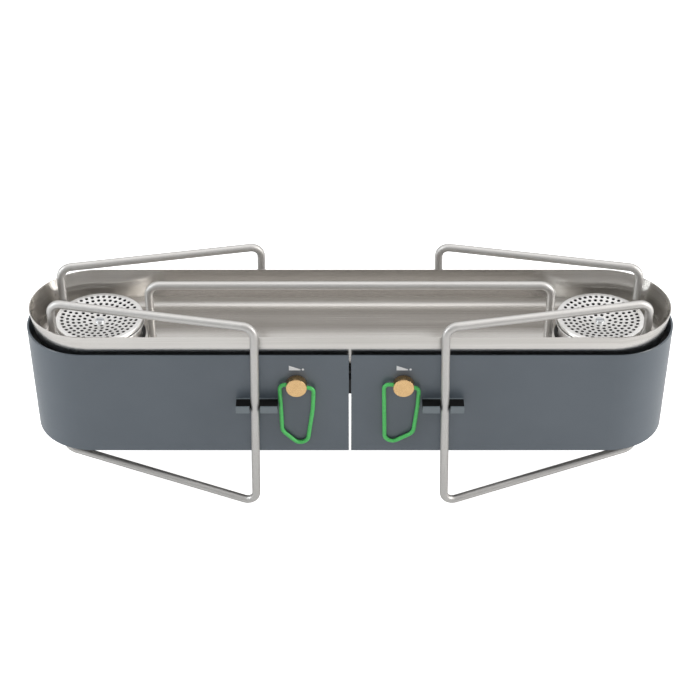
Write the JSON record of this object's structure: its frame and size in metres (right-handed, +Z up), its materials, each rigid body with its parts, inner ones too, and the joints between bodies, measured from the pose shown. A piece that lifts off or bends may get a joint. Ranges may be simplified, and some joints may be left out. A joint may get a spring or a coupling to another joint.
{
  "type": "camping stove",
  "caption": "Compact gas camping stove: racetrack body of bent sheet, steel drip tray, perforated burners at its ends and swinging wire gates as pot supports and legs.",
  "frame": {"origin": "on the ground under the centre of the stove", "axes": "+X to the right along the body, -Y to the front with the knobs, +Z up"},
  "size_m": [0.494, 0.1206, 0.1707],
  "materials": {
    "body_paint": "satin, fine",
    "black_paint": "matt",
    "tray_steel": "brushed along its length",
    "wire_steel": "satin drawn wire",
    "burner_steel": "satin",
    "tube_aluminium": "as drawn",
    "knob_brass": "turned, satin",
    "fitting_brass": "machined",
    "pipe_copper": null,
    "green_coating": "green coated wire, satin",
    "black_rubber": "matt",
    "fastener_steel": "zinc plated"
  },
  "bodies": {
    "body": {"body_shell": "body_paint", "burner_cup_left": "burner_steel", "burner_cup_right": "burner_steel", "burner_plate_left": "burner_steel", "burner_plate_right": "burner_steel", "burner_screw_left": "fastener_steel", "burner_screw_right": "fastener_steel", "centre_support": "wire_steel", "chassis_plate": "black_paint", "drip_tray": "tray_steel", "end_bracket_left": "black_paint", "end_bracket_right": "black_paint", "feed_pipe_left": "pipe_copper", "feed_pipe_right": "pipe_copper", "gas_inlet": "fitting_brass", "gas_jet_left": "fitting_brass", "gas_jet_right": "fitting_brass", "gas_manifold": "black_paint", "gland_nut_left": "fitting_brass", "gland_nut_right": "fitting_brass", "inlet_nut": "fastener_steel", "jet_bracket_left": "black_paint", "jet_bracket_right": "black_paint", "jet_holder_left": "fitting_brass", "jet_holder_right": "fitting_brass", "jet_pipe_left": "pipe_copper", "jet_pipe_right": "pipe_copper", "latch_bracket_front_left": "body_paint", "latch_bracket_front_right": "body_paint", "latch_bracket_rear_left": "body_paint", "latch_bracket_rear_right": "body_paint", "latch_pads": "black_rubber", "latch_rivets": "fastener_steel", "lower_bushes": "fastener_steel", "mixing_tube_left": "tube_aluminium", "mixing_tube_right": "tube_aluminium", "panel_grommets": "black_rubber", "pipe_nuts": "fitting_brass", "stud_nuts": "fastener_steel", "support_clips": "fastener_steel", "upper_bushes": "fastener_steel", "valve_body_left": "fitting_brass", "valve_body_right": "fitting_brass", "valve_screws": "fastener_steel", "valve_seals": "black_rubber", "weld_studs": "fastener_steel"},
    "gate_front_left": {"gate_front_left": "wire_steel", "gate_collar_front_left": "fastener_steel"},
    "gate_front_right": {"gate_front_right": "wire_steel", "gate_collar_front_right": "fastener_steel"},
    "gate_rear_left": {"gate_rear_left": "wire_steel", "gate_collar_rear_left": "fastener_steel"},
    "gate_rear_right": {"gate_rear_right": "wire_steel", "gate_collar_rear_right": "fastener_steel"},
    "knob_left": {"knob_left": "knob_brass", "spindle_left": "fastener_steel"},
    "handle_left": {"handle_left": "green_coating"},
    "knob_right": {"knob_right": "knob_brass", "spindle_right": "fastener_steel"},
    "handle_right": {"handle_right": "green_coating"}
  },
  "joints": [
    {"name": "gate_front_left_swing", "type": "hinge", "parent": "body", "child": "gate_front_left", "pos_m": [-0.223, -0.0246, 0.1], "axis": [0, 0, -1], "range_deg": [0, 90]},
    {"name": "gate_front_right_swing", "type": "hinge", "parent": "body", "child": "gate_front_right", "pos_m": [0.223, -0.0246, 0.1], "axis": [0, 0, 1], "range_deg": [0, 90]},
    {"name": "gate_rear_left_swing", "type": "hinge", "parent": "body", "child": "gate_rear_left", "pos_m": [-0.223, 0.0246, 0.1], "axis": [0, 0, 1], "range_deg": [0, 90]},
    {"name": "gate_rear_right_swing", "type": "hinge", "parent": "body", "child": "gate_rear_right", "pos_m": [0.223, 0.0246, 0.1], "axis": [0, 0, -1], "range_deg": [0, 90]},
    {"name": "knob_left_turn", "type": "hinge", "parent": "body", "child": "knob_left", "pos_m": [-0.0401, -0.0523, 0.1116], "axis": [0, -1, 0], "range_deg": [0, 180]},
    {"name": "knob_right_turn", "type": "hinge", "parent": "body", "child": "knob_right", "pos_m": [0.0401, -0.0523, 0.1116], "axis": [0, -1, 0], "range_deg": [-180, 0]},
    {"name": "handle_left_lift", "type": "hinge", "parent": "knob_left", "child": "handle_left", "pos_m": [-0.0401, -0.0523, 0.1116], "axis": [-0.9877, 0, 0.1564], "range_deg": [0, 140]},
    {"name": "handle_right_lift", "type": "hinge", "parent": "knob_right", "child": "handle_right", "pos_m": [0.0401, -0.0523, 0.1116], "axis": [-0.9877, 0, 0.1564], "range_deg": [0, 140]}
  ]
}
